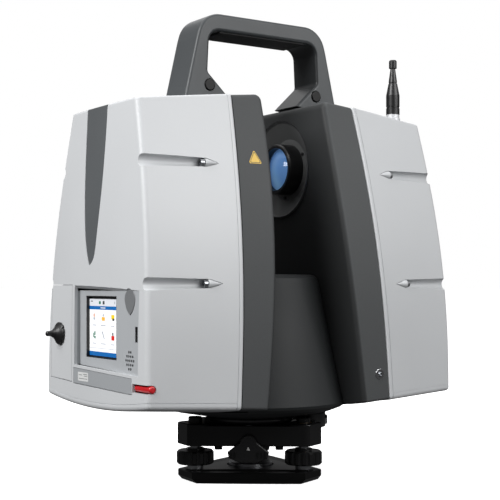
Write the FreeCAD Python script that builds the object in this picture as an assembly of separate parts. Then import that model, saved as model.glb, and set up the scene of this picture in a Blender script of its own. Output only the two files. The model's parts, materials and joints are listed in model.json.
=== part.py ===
import FreeCAD, Part
import math
import os
from FreeCAD import Vector

# Terrestrial laser scanner on a tribrach. Millimetres, +Z up.
# Origin: centre of the tribrach base plate's underside, on the vertical rotation axis.
# +X runs along the mirror axis from the display side (-X) to the lens side (+X); the front is -Y.

X_AXIS = Vector(1, 0, 0)
Y_AXIS = Vector(0, 1, 0)
Z_AXIS = Vector(0, 0, 1)

# --- the two upright housings (values for the +X one; the -X one mirrors it) ---
# Each station: height, inner face X, front face Y, corner crease X and Y, X of the side's middle.
STATIONS = [
    (55.0, 58.5, 117.0, 178.7, 105.4, 179.4),
    (122.0, 50.4, 115.2, 178.5, 104.7, 179.3),
    (197.0, 43.3, 110.4, 176.6, 100.6, 178.8),
    (306.0, 36.5, 92.5, 171.5, 82.8, 174.0),
    (385.0, 36.0, 72.4, 168.0, 61.4, 169.8),
]
REAR_LESS = 3.2
PARTING_TOP_X, PARTING_TOP_Z, PARTING_LEAN = 71.6, 373.0, 0.0529
TOP_Z, TOP_START_X, TOP_FALL = 377.5, 40.3, 0.1075
BELLY_RADIUS, BELLY_Z, BELLY_START_X, BELLY_RISE = 750.0, 72.6, 54.0, 0.0664
CREASE_R, EDGE_R, INNER_EDGE_R, LIP_R = 5.5, 2.6, 5.0, 4.0
TOP_INNER_R, PARTING_EDGE_R = 7.0, 1.8
WALL = 3.2
STRIP_SET_BACK = 0.7
BORDER_W, BORDER_LINE_W, BORDER_DEPTH, LIP_LINE_UP = 4.8, 0.7, 0.35, 5.6
PARTING_GAP = 0.5

# --- mirror and lens ---
MIRROR_Z = 315.0
DISH_R, LENS_R, BARREL_R = 50.0, 21.9, 26.0
DISH_X, LENS_FRONT_X = 36.6, 31.0
INSERT_X, INSERT_FRONT_Y, INSERT_Z = 74.8, -115.7, 108.0
MIRROR_R, MIRROR_CENTRE_X = 24.0, -6.0
SHAFT_R = 8.0
RUN_FIT = 0.05

# --- central drum and vertical axle ---
DRUM_TOP_R, DRUM_TOP_Z = 72.9, 197.0
DRUM_LOW_R, DRUM_LOW_Z = 99.0, 79.0
DRUM_CROWN_Z, DRUM_BASE_Z = 205.4, 62.9
AXLE_R = 15.0

# --- tribrach ---
SCREW_CIRCLE_R = 62.2
SCREW_ANGLES = {"a": 174.0, "b": 294.0, "c": 54.0}
SPINDLE_R, KNOB_R = 5.0, 18.5
PLATE_TOP_Z, BEVEL_Z = 10.9, 4.6
BODY_LOW_Z, BODY_TOP_Z, LOBE_TOP_Z = 36.4, 56.2, 58.2
LOBE_R, LOBE_REACH = 18.2, 76.5
LEVER_ANGLE, LEVER_Z, LEVER_SHAFT_R = 234.0, 40.0, 2.6
THREAD_R = 6.9
SOCKET_ANGLE, SOCKET_Z, SOCKET_LOW_Z = -34.0, 57.8, 50.4
SOCKET_R, SOCKET_BORE_R = 4.8, 3.7

# --- left side fittings (the display side) ---
PANEL_Y, PANEL_TOP_Z = (-89.0, 38.0), 189.8
PANEL_LOW_FRONT_Z, PANEL_LOW_REAR_Z, PANEL_TOP_SLOPE = 114.6, 118.3, 0.85
PANEL_FRONT_X, PANEL_REAR_X = -176.9, -172.8
PANEL_T = 3.0
DISPLAY_Y, DISPLAY_Z = (-42.6, 23.6), (126.4, 184.8)
GLASS_NEAR, GLASS_T = 3.0, 0.9
BUTTON_Y, BUTTON_Z, BUTTON_W, BUTTON_H = -70.6, 179.9, 19.6, 23.4
SPEAKER_Y, SPEAKER_Z, SPEAKER_PITCH = -69.8, 127.6, 3.8
SENSOR_Y, SENSOR_Z = -82.6, 151.2
COVER_Y, COVER_T = (-77.6, 40.0), 1.8
COVER_FRONT_Z, COVER_REAR_Z = (97.5, 112.3), (100.2, 115.8)
DOOR_Y, DOOR_T = (43.5, 92.0), 2.8
DOOR_FRONT_Z, DOOR_REAR_Z = (101.0, 195.2), (103.2, 195.2)
DOOR_KNOB_Y, DOOR_KNOB_Z = 70.0, 147.3
FLAP_GAP, PIN_R, SIDE_X = 0.4, 0.7, 179.25
STYLUS_X, STYLUS_Z = -173.8, 104.0

# --- screw grooves: height, crease point, pocket X, tail X ---
GROOVES = [
    (306.0, 171.5, 82.8, 75.1, 92.5, 106.9, 96.0),
    (196.0, 176.6, 100.6, 80.9, 110.4, 114.2, 102.6),
]

# --- handle ---
HANDLE_FRONT_Y, HANDLE_REAR_Y = -25.5, 16.0
HANDLE_TOP_Z, FOOT_GAP = 461.0, 1.0
HANDLE_EDGE_R, LOCK_PROUD = 3.0, 1.2
LOCK_X, LOCK_Z, LOCK_R = 64.8, 390.1, 5.8
GRIP_HALF_X, GRIP_Y, GRIP_TOP_Z = 51.5, (-22.5, 13.0), 446.6


# ---------------------------------------------------------------- helpers

def save(name, shape):
    shape.exportStep("parts/" + name + ".step")


def group(shapes):
    return Part.makeCompound(shapes)


def block(x, y, z):
    low = Vector(x[0], y[0], z[0])
    return Part.makeBox(x[1] - x[0], y[1] - y[0], z[1] - z[0], low)


def post(radius, z0, z1, x=0.0, y=0.0):
    return Part.makeCylinder(radius, z1 - z0, Vector(x, y, z0))


def rod_x(radius, x0, x1, y=0.0, z=MIRROR_Z):
    return Part.makeCylinder(radius, x1 - x0, Vector(x0, y, z), X_AXIS)


def ring_z(outer, inner, z0, z1, x=0.0, y=0.0):
    return post(outer, z0, z1, x, y).cut(post(inner, z0 - 1, z1 + 1, x, y))


def ring_x(outer, inner, x0, x1, y=0.0, z=MIRROR_Z):
    return rod_x(outer, x0, x1, y, z).cut(rod_x(inner, x0 - 1, x1 + 1, y, z))


def turned(profile, centre=Vector(0, 0, 0)):
    """A solid of revolution about +Z through centre, from (radius, height) points."""
    points = [Vector(r, 0, z) for r, z in profile]
    face = Part.Face(Part.makePolygon(points + points[:1]))
    solid = face.revolve(Vector(0, 0, 0), Z_AXIS, 360)
    solid.translate(centre)
    return solid


def turned_x(profile, z=MIRROR_Z):
    """A solid of revolution about the X line at height z, from (x, radius) points."""
    points = [Vector(x, 0, z + r) for x, r in profile]
    face = Part.Face(Part.makePolygon(points + points[:1]))
    return face.revolve(Vector(0, 0, z), X_AXIS, 360)


def prism_xz(points, y0, y1):
    corners = [Vector(x, y0, z) for x, z in points]
    face = Part.Face(Part.makePolygon(corners + corners[:1]))
    return face.extrude(Vector(0, y1 - y0, 0))


def prism_xy(points, z0, z1):
    corners = [Vector(x, y, z0) for x, y in points]
    face = Part.Face(Part.makePolygon(corners + corners[:1]))
    return face.extrude(Vector(0, 0, z1 - z0))


def mirrored(shape):
    return shape.mirror(Vector(0, 0, 0), X_AXIS)


def at_angle(radius, degrees, z=0.0):
    turn = math.radians(degrees)
    return Vector(radius * math.cos(turn), radius * math.sin(turn), z)


def edges_where(shape, test):
    return [edge for edge in shape.Edges if test(edge.BoundBox)]


def tapered_rod(start, end, start_r, end_r):
    span = end - start
    if abs(start_r - end_r) < 1e-6:
        return Part.makeCylinder(start_r, span.Length, start, span)
    return Part.makeCone(start_r, end_r, span.Length, start, span)


# ---------------------------------------------------------------- housings

def parting_x(z):
    return PARTING_TOP_X + (PARTING_TOP_Z - z) * PARTING_LEAN


def top_z(x):
    return TOP_Z - (x - TOP_START_X) * TOP_FALL


def rounded_corner(before, tip, after, radius):
    """Start, middle and end of the arc that rounds the corner at tip."""
    u = (before - tip).normalize()
    v = (after - tip).normalize()
    half = u.getAngle(v) / 2.0
    reach = radius / math.tan(half)
    inward = (u + v).normalize() * (radius / math.sin(half) - radius)
    return tip + u * reach, tip + inward, tip + v * reach


def across(point):
    """The rear counterpart of a front point; the rear is a little less deep."""
    return Vector(point.x, -point.y - REAR_LESS, point.z)


def plan_wire(station, inset):
    z, inner_x, front_y, crease_x, crease_y, side_x = station
    inner = Vector(inner_x + inset, inset - front_y, z)
    bend = Vector(parting_x(z), inset - front_y, z)
    crease = Vector(crease_x - inset, inset - crease_y, z)
    side = Vector(side_x - inset, 0, z)
    c0, c1, c2 = rounded_corner(bend, crease, side, CREASE_R - inset)
    return Part.Wire([
        Part.LineSegment(inner, bend).toShape(),
        Part.LineSegment(bend, c0).toShape(),
        Part.Arc(c0, c1, c2).toShape(),
        Part.Arc(c2, side, across(c2)).toShape(),
        Part.Arc(across(c2), across(c1), across(c0)).toShape(),
        Part.LineSegment(across(c0), across(bend)).toShape(),
        Part.LineSegment(across(bend), across(inner)).toShape(),
        Part.LineSegment(across(inner), inner).toShape(),
    ])


def belly_space(rise):
    """Everything above the housings' curved underside, raised by rise."""
    along = Vector(1, 0, BELLY_RISE).normalize()
    axis_start = Vector(BELLY_START_X, 0, BELLY_Z + BELLY_RADIUS + rise) - along * 100
    return Part.makeCylinder(BELLY_RADIUS, 400, axis_start, along)


def housing_volume(inset):
    """The +X housing's outer form, drawn in by inset on every side."""
    column = Part.makeLoft([plan_wire(station, inset) for station in STATIONS], True, False)
    under_roof = prism_xz(
        [(10, 0), (200, 0), (200, top_z(200) - inset), (10, top_z(10) - inset)], -150, 150)
    return column.common(under_roof).common(belly_space(inset))


def outboard_space(offset):
    """Everything outboard of the leaning parting plane, shifted out by offset."""
    return prism_xz([(parting_x(0) + offset, 0), (260, 0), (260, 460),
                     (parting_x(460) + offset, 460)], -160, 160)


def is_roof_edge(box):
    return box.ZMin > 350 and box.XMax > 52


def shell_form(inset):
    """The housing with a small round along its roof and a broad one under its outer part."""
    body = housing_volume(inset)
    body = body.makeFillet(EDGE_R, edges_where(body, is_roof_edge))
    return body.makeFillet(LIP_R, edges_where(body, lambda b: b.ZMax < 100 and b.XMax > 66))


def cover_form(inset):
    """The housing with a broad round where its roof meets the inner face, and small ones elsewhere."""
    body = housing_volume(inset)
    inner_top = edges_where(body, lambda b: b.ZMin > 370 and b.XMax < 44 and b.YLength > 60)
    body = body.makeFillet(TOP_INNER_R, inner_top)
    body = body.makeFillet(INNER_EDGE_R, edges_where(body, lambda b: b.ZLength > 200 and b.XMax < 62))
    body = body.makeFillet(EDGE_R, edges_where(body, is_roof_edge))
    return body.makeFillet(EDGE_R - 0.2, edges_where(body, lambda b: b.ZMax < 100))


def groove_line(groove):
    """Unit vector along the front panel and the panel's Y at a given X, for one groove."""
    z, crease_x, crease_y, bend_x, bend_y = groove[:5]
    slope = (bend_y - crease_y) / (bend_x - crease_x)
    return lambda x, depth: Vector(x, depth - crease_y - slope * (x - crease_x), z)


def groove_space(groove, grow):
    """A channel along the front panel from beyond the crease to the screw, with a run-out tail.

    With grow above zero it is the thicker form that becomes the channel's wall.
    """
    point = groove_line(groove)
    pocket_x, tail_x = groove[5], groove[6]
    start = point(groove[1] + 14.0, 0.2)
    end = point(pocket_x - grow, 2.4)
    channel = tapered_rod(start, end, 6.1 + grow, 4.7 + grow)
    tail = tapered_rod(point(pocket_x, 2.4), point(tail_x - grow, 0.0), 4.7 + grow, 0.4 + grow)
    return channel.fuse(tail)


def both_faces(shape):
    return [shape, shape.mirror(Vector(0, -REAR_LESS / 2, 0), Y_AXIS)]


def housing_screw(groove):
    """Socket-head screw lying along the groove, head outwards, for the +X front panel."""
    point = groove_line(groove)
    seat = point(groove[5] + 0.2, 2.4)
    outward = (point(groove[1], 2.4) - seat).normalize()
    head_end = seat + outward * 6.4
    head = tapered_rod(seat, head_end, 3.5, 3.5)
    socket = hex_rod(head_end - outward * 3.4, outward, 2.3, 4.0)
    shank = tapered_rod(seat - outward * 9.0, seat, 2.0, 2.0)
    return head.cut(socket).fuse(shank)


def hex_rod(start, direction, radius, length):
    side = direction.cross(Z_AXIS).normalize()
    up = side.cross(direction).normalize()
    corners = []
    for step in range(6):
        turn = math.radians(60 * step)
        corners.append(start + side * (radius * math.cos(turn)) + up * (radius * math.sin(turn)))
    return Part.Face(Part.makePolygon(corners + corners[:1])).extrude(direction * length)


def teardrop_space(y_sign):
    """Prism along X of the long teardrop inlay, wide at the roof and pointed low down."""
    rear = [(26.6, 400), (26.4, 360), (24.4, 300), (20.0, 255), (13.5, 226), (7.5, 213.4)]
    front = [(7.5, 213.4), (1.2, 217), (-6.0, 238), (-11.5, 275), (-15.3, 330), (-15.8, 400)]
    curves = []
    for side in (rear, front):
        spline = Part.BSplineCurve()
        spline.interpolate([Vector(150, y_sign * y, z) for y, z in side])
        curves.append(spline.toShape())
    top = Part.makeLine(Vector(150, y_sign * front[-1][0], 400), Vector(150, y_sign * rear[0][0], 400))
    face = Part.Face(Part.Wire(curves + [top]))
    return face.extrude(Vector(60, 0, 0))


def white_shell():
    """The outboard shell of the +X housing: hollow, grooved, with a softened parting edge."""
    solid = shell_form(0.0).common(outboard_space(PARTING_GAP / 2))
    lean = edges_where(solid, lambda b: b.XMax < parting_x(b.ZMin) + 1.0 and b.XMin < 90)
    solid = solid.makeFillet(PARTING_EDGE_R, lean)
    grooves = []
    liners = []
    for groove in GROOVES:
        grooves += both_faces(groove_space(groove, 0.0))
        liners += both_faces(groove_space(groove, 1.8))
    hollow = housing_volume(WALL)
    shell = solid.cut(hollow).fuse([solid.common(liner) for liner in liners])
    return shell.cut(grooves + [border_line(), lip_line()])


def border_line():
    """A fine line scored round the shell, a border's width outboard of the parting plane."""
    skin = housing_volume(-1.0).cut(shell_form(BORDER_DEPTH))
    return skin.common(outboard_space(BORDER_W)).cut(outboard_space(BORDER_W + BORDER_LINE_W))


def lip_line():
    """A fine line scored along the shell's foot, just above its turned-under lip."""
    skin = housing_volume(-1.0).cut(shell_form(BORDER_DEPTH))
    band = belly_space(LIP_LINE_UP).cut(belly_space(LIP_LINE_UP + BORDER_LINE_W))
    return skin.common(band).common(outboard_space(BORDER_W))


def inner_cover():
    """The dark cover of the +X housing that faces the mirror: hollow, set back a little."""
    solid = cover_form(STRIP_SET_BACK).cut(outboard_space(-PARTING_GAP / 2))
    return solid.cut(housing_volume(WALL))


# ---------------------------------------------------------------- left side fittings

def floor_x(y):
    share = (y - PANEL_Y[0]) / (PANEL_Y[1] - PANEL_Y[0])
    return PANEL_FRONT_X + share * (PANEL_REAR_X - PANEL_FRONT_X)


def on_panel(y, z, near, far):
    """A slab parallel to the control panel's floor, from near to far behind it."""
    return prism_xy([(floor_x(y[0]) + near, y[0]), (floor_x(y[1]) + near, y[1]),
                     (floor_x(y[1]) + far, y[1]), (floor_x(y[0]) + far, y[0])], z[0], z[1])


def panel_outline(y, low_z):
    """The panel's upright section at one Y: its floor, and the space in front with a sloping top."""
    x = floor_x(y)
    reach = 190 + x
    return Part.makePolygon([Vector(x, y, low_z), Vector(x, y, PANEL_TOP_Z),
                             Vector(-190, y, PANEL_TOP_Z + reach * PANEL_TOP_SLOPE),
                             Vector(-190, y, low_z), Vector(x, y, low_z)])


def panel_recess():
    return Part.makeLoft([panel_outline(PANEL_Y[0], PANEL_LOW_FRONT_Z),
                          panel_outline(PANEL_Y[1], PANEL_LOW_REAR_Z)], True, True)


def panel_slab(thickness):
    """The panel's own outline, slanted along its lower edge, thickness deep behind the floor."""
    front, rear = PANEL_Y
    corners = [Vector(floor_x(front), front, PANEL_LOW_FRONT_Z),
               Vector(floor_x(rear), rear, PANEL_LOW_REAR_Z),
               Vector(floor_x(rear), rear, PANEL_TOP_Z),
               Vector(floor_x(front), front, PANEL_TOP_Z)]
    return Part.Face(Part.makePolygon(corners + corners[:1])).extrude(X_AXIS * thickness)


def button_outline(grow, near, far):
    """Round-topped button with curved flanks and a pointed foot, as a prism along X."""
    half = BUTTON_W / 2 + grow
    top = BUTTON_Z + BUTTON_H / 2 + grow
    low = BUTTON_Z - BUTTON_H / 2 - grow
    x = floor_x(BUTTON_Y) + near
    shoulder = top - half * 0.95
    left = Vector(x, BUTTON_Y - half, shoulder)
    right = Vector(x, BUTTON_Y + half, shoulder)
    tip = Vector(x, BUTTON_Y, low)
    sides = [Part.Arc(left, Vector(x, BUTTON_Y, top), right).toShape()]
    for start, end, sign in ((right, tip, 1), (tip, left, -1)):
        middle = Vector(x, BUTTON_Y + sign * half * 0.7, (shoulder + low) / 2 - half * 0.07)
        sides.append(Part.Arc(start, middle, end).toShape())
    return Part.Face(Part.Wire(sides)).extrude(Vector(far - near, 0, 0))


def grown(span, by):
    return (span[0] - by, span[1] + by)


def speaker_holes():
    holes = []
    for row, count in enumerate((2, 4, 5, 4, 2)):
        z = SPEAKER_Z + (row - 2) * SPEAKER_PITCH
        for column in range(count):
            y = SPEAKER_Y + (column - (count - 1) / 2) * SPEAKER_PITCH
            holes.append(rod_x(0.95, -182, -170, y, z))
    return holes


def control_panel():
    plate = panel_slab(PANEL_T)
    window = on_panel(DISPLAY_Y, DISPLAY_Z, -1.0, PANEL_T + 1)
    sensor = on_panel((SENSOR_Y - 2.5, SENSOR_Y + 2.5), (SENSOR_Z - 7, SENSOR_Z + 7), -1, 1.4)
    return plate.cut([window, sensor, button_outline(0.35, -1, PANEL_T + 2)] + speaker_holes())


def display_module():
    frame = on_panel(grown(DISPLAY_Y, -0.1), grown(DISPLAY_Z, -0.1), 0.3, 9.0)
    return frame.cut(on_panel(grown(DISPLAY_Y, -0.9), grown(DISPLAY_Z, -0.9), 0.0, GLASS_NEAR + GLASS_T))


def display_glass():
    return on_panel(grown(DISPLAY_Y, -1.0), grown(DISPLAY_Z, -1.0), GLASS_NEAR, GLASS_NEAR + GLASS_T)


def power_button():
    body = button_outline(0.0, -0.7, 4.0)
    face = edges_where(body, lambda b: b.XMax < floor_x(BUTTON_Y) - 0.6)
    return body.makeFillet(0.5, face)


def speaker():
    return rod_x(10.0, floor_x(SPEAKER_Y) + PANEL_T + 0.6, floor_x(SPEAKER_Y) + 9, SPEAKER_Y, SPEAKER_Z)


def side_window(y, front_z, rear_z, gap):
    """A four-sided prism through the left side wall: its Z span at the front and at the rear."""
    corners = [Vector(-190, y[0] + gap, front_z[0] + gap), Vector(-190, y[1] - gap, rear_z[0] + gap),
               Vector(-190, y[1] - gap, rear_z[1] - gap), Vector(-190, y[0] + gap, front_z[1] - gap)]
    return Part.Face(Part.makePolygon(corners + corners[:1])).extrude(X_AXIS * 26)


def hinge_line(y, front_z, rear_z, thickness, overrun):
    """Ends of a flap's hinge axis, in the middle of its thickness, along its lower edge."""
    rise = (rear_z[0] - front_z[0]) / (y[1] - y[0])
    lift = FLAP_GAP + thickness / 2
    x = thickness / 2 - SIDE_X
    return (Vector(x, y[0] - overrun, front_z[0] + lift - rise * overrun),
            Vector(x, y[1] + overrun, rear_z[0] + lift + rise * overrun))


def hinge_pin(y, front_z, rear_z, thickness, radius, overrun):
    start, end = hinge_line(y, front_z, rear_z, thickness, overrun)
    return tapered_rod(start, end, radius, radius)


def hinged_flap(y, front_z, rear_z, thickness):
    """A piece of the left side wall with a rounded lower edge and a hinge pin along it."""
    skin = mirrored(housing_volume(0.0).cut(housing_volume(thickness)))
    flap = skin.common(side_window(y, front_z, rear_z, FLAP_GAP))
    lift = FLAP_GAP + thickness / 2
    upper = side_window(y, (front_z[0] + lift, 400), (rear_z[0] + lift, 400), 0.0)
    knuckle = hinge_pin(y, front_z, rear_z, thickness, thickness / 2, -FLAP_GAP)
    pin = hinge_pin(y, front_z, rear_z, thickness, PIN_R, 1.6)
    return flap.common(upper.fuse(knuckle)).fuse(pin).removeSplitter()


def port_cover():
    return hinged_flap(COVER_Y, COVER_FRONT_Z, COVER_REAR_Z, COVER_T)


def battery_door():
    door = hinged_flap(DOOR_Y, DOOR_FRONT_Z, DOOR_REAR_Z, DOOR_T)
    return door.cut(rod_x(4.0 + RUN_FIT, -190, -160, DOOR_KNOB_Y, DOOR_KNOB_Z))


def battery_knob():
    """Flared quarter-turn knob with a stem, its shaft through the door and a short cam behind."""
    x0 = -179.2
    flare = turned_x([(x0, 0), (x0, 11.0), (x0 - 1.2, 11.2), (x0 - 2.4, 10.2), (x0 - 4.0, 7.6),
                      (x0 - 6.0, 5.2), (x0 - 8.4, 3.5), (x0 - 10.4, 2.7), (x0 - 14.2, 2.5),
                      (x0 - 15.0, 1.6), (x0 - 15.2, 0)], 0)
    flare.translate(Vector(0, DOOR_KNOB_Y, DOOR_KNOB_Z))
    grips = [rod_x(1.6, x0 - 5, x0 + 0.5, DOOR_KNOB_Y + p.x, DOOR_KNOB_Z + p.y)
             for p in (at_angle(11.8, 30 * step) for step in range(12))]
    shaft = rod_x(4.0, x0, -173.0, DOOR_KNOB_Y, DOOR_KNOB_Z)
    cam = block((-173.0, -171.0), (DOOR_KNOB_Y - 4, DOOR_KNOB_Y + 4), (DOOR_KNOB_Z - 4, DOOR_KNOB_Z + 13))
    return flare.cut(grips).fuse([shaft, cam]).removeSplitter()


def stylus_pen():
    body = Part.makeCylinder(2.0, 96, Vector(STYLUS_X, -80, STYLUS_Z), Y_AXIS)
    tip = Part.makeCone(2.0, 0.6, 6, Vector(STYLUS_X, 16, STYLUS_Z), Y_AXIS)
    return body.fuse(tip).removeSplitter()


def stylus_cap():
    cap = Part.makeCylinder(3.3, 27, Vector(STYLUS_X, -80, STYLUS_Z), Vector(0, -1, 0))
    cap = cap.makeFillet(1.6, edges_where(cap, lambda b: b.YMax < -106))
    finger_cut = block((-180, -176.9), (-97, -88), (STYLUS_Z - 4, STYLUS_Z + 4))
    return cap.cut(finger_cut)


def stylus_slot():
    bore = Part.makeCylinder(3.9, 36, Vector(STYLUS_X, -79.0, STYLUS_Z), Vector(0, -1, 0))
    mouth = block((-190, STYLUS_X), (-115, -79), (STYLUS_Z - 3.9, STYLUS_Z + 3.9))
    pen_hole = Part.makeCylinder(2.7, 6, Vector(STYLUS_X, -81, STYLUS_Z), Y_AXIS)
    return bore.fuse([mouth, pen_hole])


def port_block():
    core = block((-170.5, -153), (-60, 34), (96, 115))
    sleeve = Part.makeCylinder(2.55, 88, Vector(STYLUS_X, -76, STYLUS_Z), Y_AXIS)
    bridge = block((STYLUS_X, -170.5), (-60, 10), (STYLUS_Z - 1.2, STYLUS_Z + 1.2))
    pen_bore = Part.makeCylinder(2.0 + RUN_FIT, 100, Vector(STYLUS_X, -80, STYLUS_Z), Y_AXIS)
    sockets = [block((-171, -164), (-50, -36), (108, 113)), block((-171, -164), (16, 30), (98, 110))]
    return core.fuse([sleeve, bridge]).cut([pen_bore] + sockets)


def left_shell():
    shell = mirrored(white_shell())
    cover_hole = side_window(COVER_Y, COVER_FRONT_Z, COVER_REAR_Z, 0.0)
    door_hole = side_window(DOOR_Y, DOOR_FRONT_Z, DOOR_REAR_Z, 0.0)
    button_hole = button_outline(0.35, -10, PANEL_T + 2)
    pin_bores = [hinge_pin(COVER_Y, COVER_FRONT_Z, COVER_REAR_Z, COVER_T, PIN_R + RUN_FIT, 1.7),
                 hinge_pin(DOOR_Y, DOOR_FRONT_Z, DOOR_REAR_Z, DOOR_T, PIN_R + RUN_FIT, 1.7)]
    inlay = mirrored(inlay_pocket())
    return shell.cut([panel_recess(), panel_slab(PANEL_T + 3), cover_hole, door_hole, stylus_slot(),
                      button_hole, inlay] + pin_bores)


def inlay_pocket():
    return housing_volume(-1.0).cut(housing_volume(1.5)).common(teardrop_space(1))


def shell_inlay():
    return housing_volume(0.5).cut(housing_volume(1.5)).common(teardrop_space(1))


def right_shell():
    return white_shell().cut(inlay_pocket())


def battery_pack():
    pack = block((-167, -128), (47, 88), (106, 190))
    return pack.makeFillet(2.0, pack.Edges)


# ---------------------------------------------------------------- lens, mirror, yoke, drum

def arm_space(grow):
    return block((-96, 96), (-35 - grow, 35 + grow), (86 - grow, 100 + grow))


def yoke_frame():
    """One casting: bearing hub, cross arm and an upright inside each housing."""
    hub = post(30, 76, 118)
    arm = arm_space(0.0)
    casting = hub.fuse(arm)
    for sign in (-1, 1):
        x = (66, 82) if sign > 0 else (-82, -66)
        upright = prism_xz([(x[0], 100), (x[1], 100), (x[1], 352), (x[0], 352)], -34, 34)
        window = block((x[0] - 1, x[1] + 1), (-18, 18), (130, 250))
        casting = casting.fuse(upright.cut(window))
    bores = [post(24, 70, 120), rod_x(19, -90, -60), rod_x(BARREL_R + 1, 60, 90)]
    return casting.cut(bores)


def azimuth_bearings():
    return group([ring_z(24, AXLE_R + RUN_FIT, 77, 87), ring_z(24, AXLE_R + RUN_FIT, 106, 116)])


def azimuth_motor():
    return ring_z(50, 31, 100.5, 118)


def drum_cover():
    """Conical cover between the housings, hollow, open below round the static base."""
    outer = turned([(0, DRUM_BASE_Z), (46, DRUM_BASE_Z), (83, 69.4), (93, 73.2), (97.4, 76.2),
                    (DRUM_LOW_R, DRUM_LOW_Z), (DRUM_TOP_R, DRUM_TOP_Z), (71.0, 201.6),
                    (67.0, 204.6), (62.0, DRUM_CROWN_Z), (0, DRUM_CROWN_Z)])
    inner = turned([(0, 66), (46, 66), (83, 72.4), (92, 76), (95.8, 80), (69.8, 197), (60, 202.4),
                    (0, 202.4)])
    shell = outer.cut(inner).cut(post(36, 60, 80))
    right = housing_volume(-0.3)
    return shell.cut([right, mirrored(right)])


def mirror_split(offset):
    """Half-space prism on the glass side of the 45 degree mirror plane, shifted by offset."""
    shift = offset * math.sqrt(2)
    a = MIRROR_CENTRE_X + shift
    return prism_xy([(a - 60, -60), (a + 60, 60), (a + 200, 60), (a + 200, -60)],
                    MIRROR_Z - 60, MIRROR_Z + 60)


def mirror_drum():
    body = rod_x(MIRROR_R, -60, 20)
    return body.cut(mirror_split(-3.0))


def mirror_plate():
    body = rod_x(MIRROR_R - 1.5, -60, 20)
    return body.common(mirror_split(-3.0)).cut(mirror_split(0.0))


def mirror_shaft():
    return rod_x(SHAFT_R, -140, -60)


def mirror_bearings():
    inner = SHAFT_R + RUN_FIT
    return group([ring_x(19, inner, -82, -72), ring_x(19, inner, -71.5, -66)])


def mirror_motor():
    can = ring_x(28, SHAFT_R + 1.5, -132, -82.3)
    return can.makeFillet(2.0, edges_where(can, lambda b: b.XMax < -131 and b.YLength > 40))


def lens_dish():
    """Conical recess round the lens, with a narrow proud rim."""
    return turned_x([(DISH_X, DISH_R), (DISH_X, DISH_R - 0.9), (DISH_X + 1.6, DISH_R - 2.2),
                     (48.0, 32.0), (48.0, BARREL_R + 0.2), (50.5, BARREL_R + 0.2), (50.5, 33.0),
                     (DISH_X + 4.4, DISH_R - 2.0), (DISH_X + 4.4, DISH_R)])


def dish_hole():
    return turned_x([(20, DISH_R + 0.2), (46, DISH_R + 0.2), (52, 34), (60, 34), (60, 0), (20, 0)])


def lens_barrel():
    return turned_x([(LENS_FRONT_X, LENS_R + 0.1), (LENS_FRONT_X, BARREL_R - 1.4),
                     (LENS_FRONT_X + 1.4, BARREL_R), (96, BARREL_R), (96, LENS_R - 2),
                     (46, LENS_R - 2), (46, LENS_R + 0.1)])


def lens():
    """Plano-convex front lens, its crown towards the mirror."""
    crown = 6.0
    radius = (LENS_R ** 2 + crown ** 2) / (2 * crown)
    face_x = LENS_FRONT_X + 1.2
    ball = Part.makeSphere(radius, Vector(face_x + radius, 0, MIRROR_Z))
    return ball.common(rod_x(LENS_R, face_x - 1, face_x + crown + 4))


def laser_module():
    box = block((97, 152), (-32, 32), (286, 344))
    return box.makeFillet(3.0, box.Edges)


def left_inner_cover():
    cover = mirrored(inner_cover())
    turret = rod_x(MIRROR_R + 2.0, -64, -30)
    return cover.cut([turret, arm_space(1.0)])


def right_inner_cover():
    insert_hole = Part.makeCylinder(5.2, 14, Vector(INSERT_X, -105, INSERT_Z), Vector(0, -1, 0))
    return inner_cover().cut([dish_hole(), arm_space(1.0), insert_hole])


def accessory_insert():
    """Threaded metal insert in the right strip, flush with its front."""
    front = Vector(INSERT_X, INSERT_FRONT_Y, INSERT_Z)
    body = Part.makeCylinder(5.2, 9, front, Y_AXIS)
    body = body.makeFillet(0.5, edges_where(body, lambda b: b.YMax < INSERT_FRONT_Y + 0.1))
    return body.cut(Part.makeCylinder(2.5, 8, front - Y_AXIS, Y_AXIS))


# ---------------------------------------------------------------- handle and antenna

def handle_body():
    """Bow handle with sloping outer legs and diagonal webs, standing on both roofs."""
    blank = prism_xz([(-93.5, 368), (-92.0, 378), (-78.4, 436), (-71.0, HANDLE_TOP_Z),
                      (71.0, HANDLE_TOP_Z), (78.4, 436), (92.0, 378), (93.5, 368)],
                     HANDLE_FRONT_Y, HANDLE_REAR_Y)
    shoulders = edges_where(blank, lambda b: b.YLength > 40 and b.ZMin > 455)
    blank = blank.makeFillet(26.0, shoulders)
    gap = prism_xz([(-38, 360), (-38, 376.4), (-66.3, 403), (-64.2, 444), (64.2, 444),
                    (66.3, 403), (38, 376.4), (38, 360)], -60, 60)
    gap = gap.makeFillet(12.0, edges_where(gap, lambda b: b.YLength > 100 and b.ZMin > 440))
    gap = gap.makeFillet(5.0, edges_where(gap, lambda b: b.YLength > 100 and 400 < b.ZMin < 405))
    bow = blank.cut(gap)
    faces = edges_where(bow, lambda b: b.YLength < 1 and b.ZMax > 369.5)
    bow = bow.makeFillet(HANDLE_EDGE_R, faces)
    roof = housing_volume(0.0)
    gap_roof = housing_volume(-FOOT_GAP)
    legs = bow.cut([gap_roof, mirrored(gap_roof)])
    pad_y = (HANDLE_FRONT_Y + 3.0, HANDLE_REAR_Y - 3.0)
    pads = [block(x, pad_y, (366, 381)).common(bow) for x in ((-89, -50), (50, 89))]
    whole = legs.fuse(pads).cut([roof, mirrored(roof), handle_grip_space()] + handle_pockets())
    return whole.removeSplitter()


def handle_grip_space():
    return block((-GRIP_HALF_X, GRIP_HALF_X), GRIP_Y, (440, GRIP_TOP_Z))


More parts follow.
